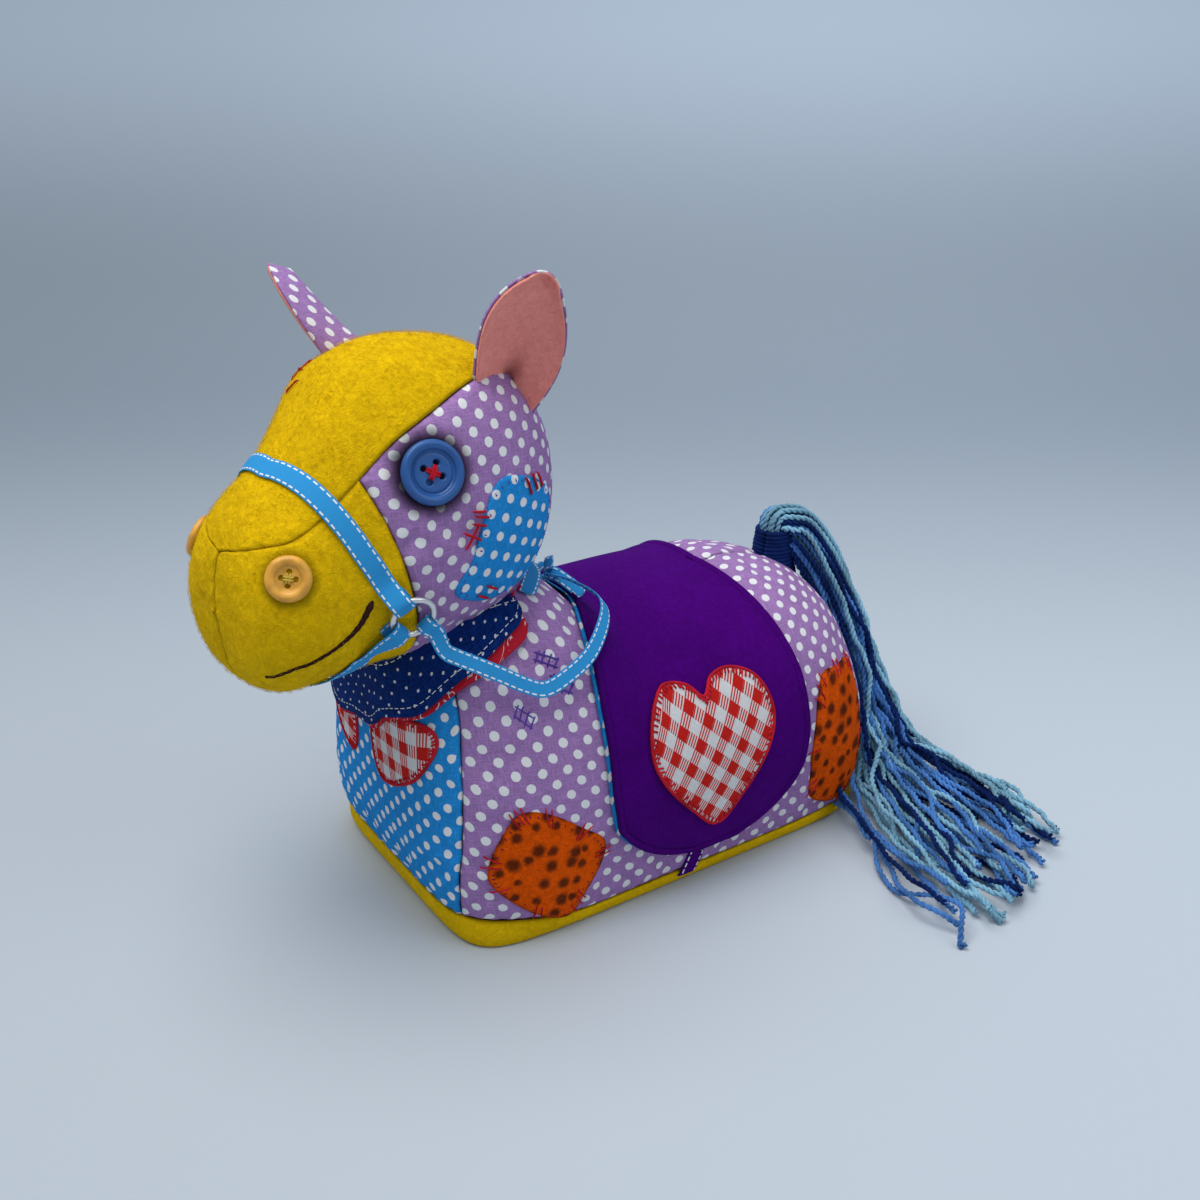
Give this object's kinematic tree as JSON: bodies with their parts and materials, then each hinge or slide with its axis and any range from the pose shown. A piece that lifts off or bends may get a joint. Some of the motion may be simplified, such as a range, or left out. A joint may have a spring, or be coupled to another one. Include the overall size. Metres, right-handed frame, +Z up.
{
  "type": "plush horse",
  "caption": "Legless patchwork plush horse on a flat padded base, with button eyes, a ribbon halter on wire rings, a bandana, a felt saddle and a hinged yarn tail.",
  "frame": {"origin": "on the floor, at the middle of the body's widest section, in the toy's middle plane", "axes": "-X toward the chest, which the head faces, -Y toward the toy's left side, +Z up"},
  "size_m": [0.2753, 0.1955, 0.2151],
  "materials": {
    "yellow_felt": "matte",
    "lilac_cotton": "matte",
    "blue_cotton": "matte",
    "white_stuffing": "matte",
    "pink_felt": "matte",
    "blue_plastic": "glossy",
    "amber_plastic": "glossy",
    "sky_ribbon": "matte",
    "silver_wire": "polished",
    "navy_twill": "matte",
    "red_cotton": "matte",
    "purple_felt": "matte",
    "red_gingham": "matte",
    "orange_felt": "matte",
    "navy_thread": "matte",
    "blue_yarn": "matte"
  },
  "bodies": {
    "body": {"base_panel": "yellow_felt", "side_left": "lilac_cotton", "side_right": "lilac_cotton", "chest_panel": "blue_cotton", "body_stuffing": "white_stuffing", "forehead_panel": "yellow_felt", "cheek_left": "lilac_cotton", "cheek_right": "lilac_cotton", "muzzle_left": "yellow_felt", "muzzle_right": "yellow_felt", "head_stuffing": "white_stuffing", "ear_left_outer": "lilac_cotton", "ear_left_lining": "pink_felt", "ear_right_outer": "lilac_cotton", "ear_right_lining": "pink_felt", "eye_button_left": "blue_plastic", "eye_button_right": "blue_plastic", "nostril_button_left": "amber_plastic", "nostril_button_right": "amber_plastic", "noseband": "sky_ribbon", "chin_strap": "sky_ribbon", "rein_left": "sky_ribbon", "rein_right": "sky_ribbon", "rein_knot": "sky_ribbon", "bandana": "navy_twill", "bandana_lining": "red_cotton", "bandana_tie": "sky_ribbon", "saddle": "purple_felt", "saddle_lining": "blue_cotton", "girth_strap": "purple_felt", "heart_left": "red_gingham", "heart_right": "red_gingham", "chest_patch_left": "red_gingham", "chest_patch_right": "red_gingham", "flank_patch": "orange_felt", "rump_patch": "orange_felt", "cheek_patch": "blue_cotton", "tail_binding": "navy_thread"},
    "ring_left_body": {"ring_left": "silver_wire"},
    "ring_right_body": {"ring_right": "silver_wire"},
    "tail_body": {"tail": "blue_yarn"}
  },
  "joints": [
    {"name": "tail_lift", "type": "hinge", "parent": "body", "child": "tail_body", "pos_m": [0.082, 0, 0.0975], "axis": [0, -1, 0], "range_deg": [0, 60]},
    {"name": "ring_left_spin", "type": "hinge", "parent": "body", "child": "ring_left_body", "pos_m": [-0.09202, -0.04286, 0.12196], "axis": [-0.1004, -0.9581, -0.2684], "continuous": true},
    {"name": "ring_right_spin", "type": "hinge", "parent": "body", "child": "ring_right_body", "pos_m": [-0.10439, 0.02733, 0.11947], "axis": [-0.4184, 0.8453, -0.3323], "continuous": true}
  ]
}
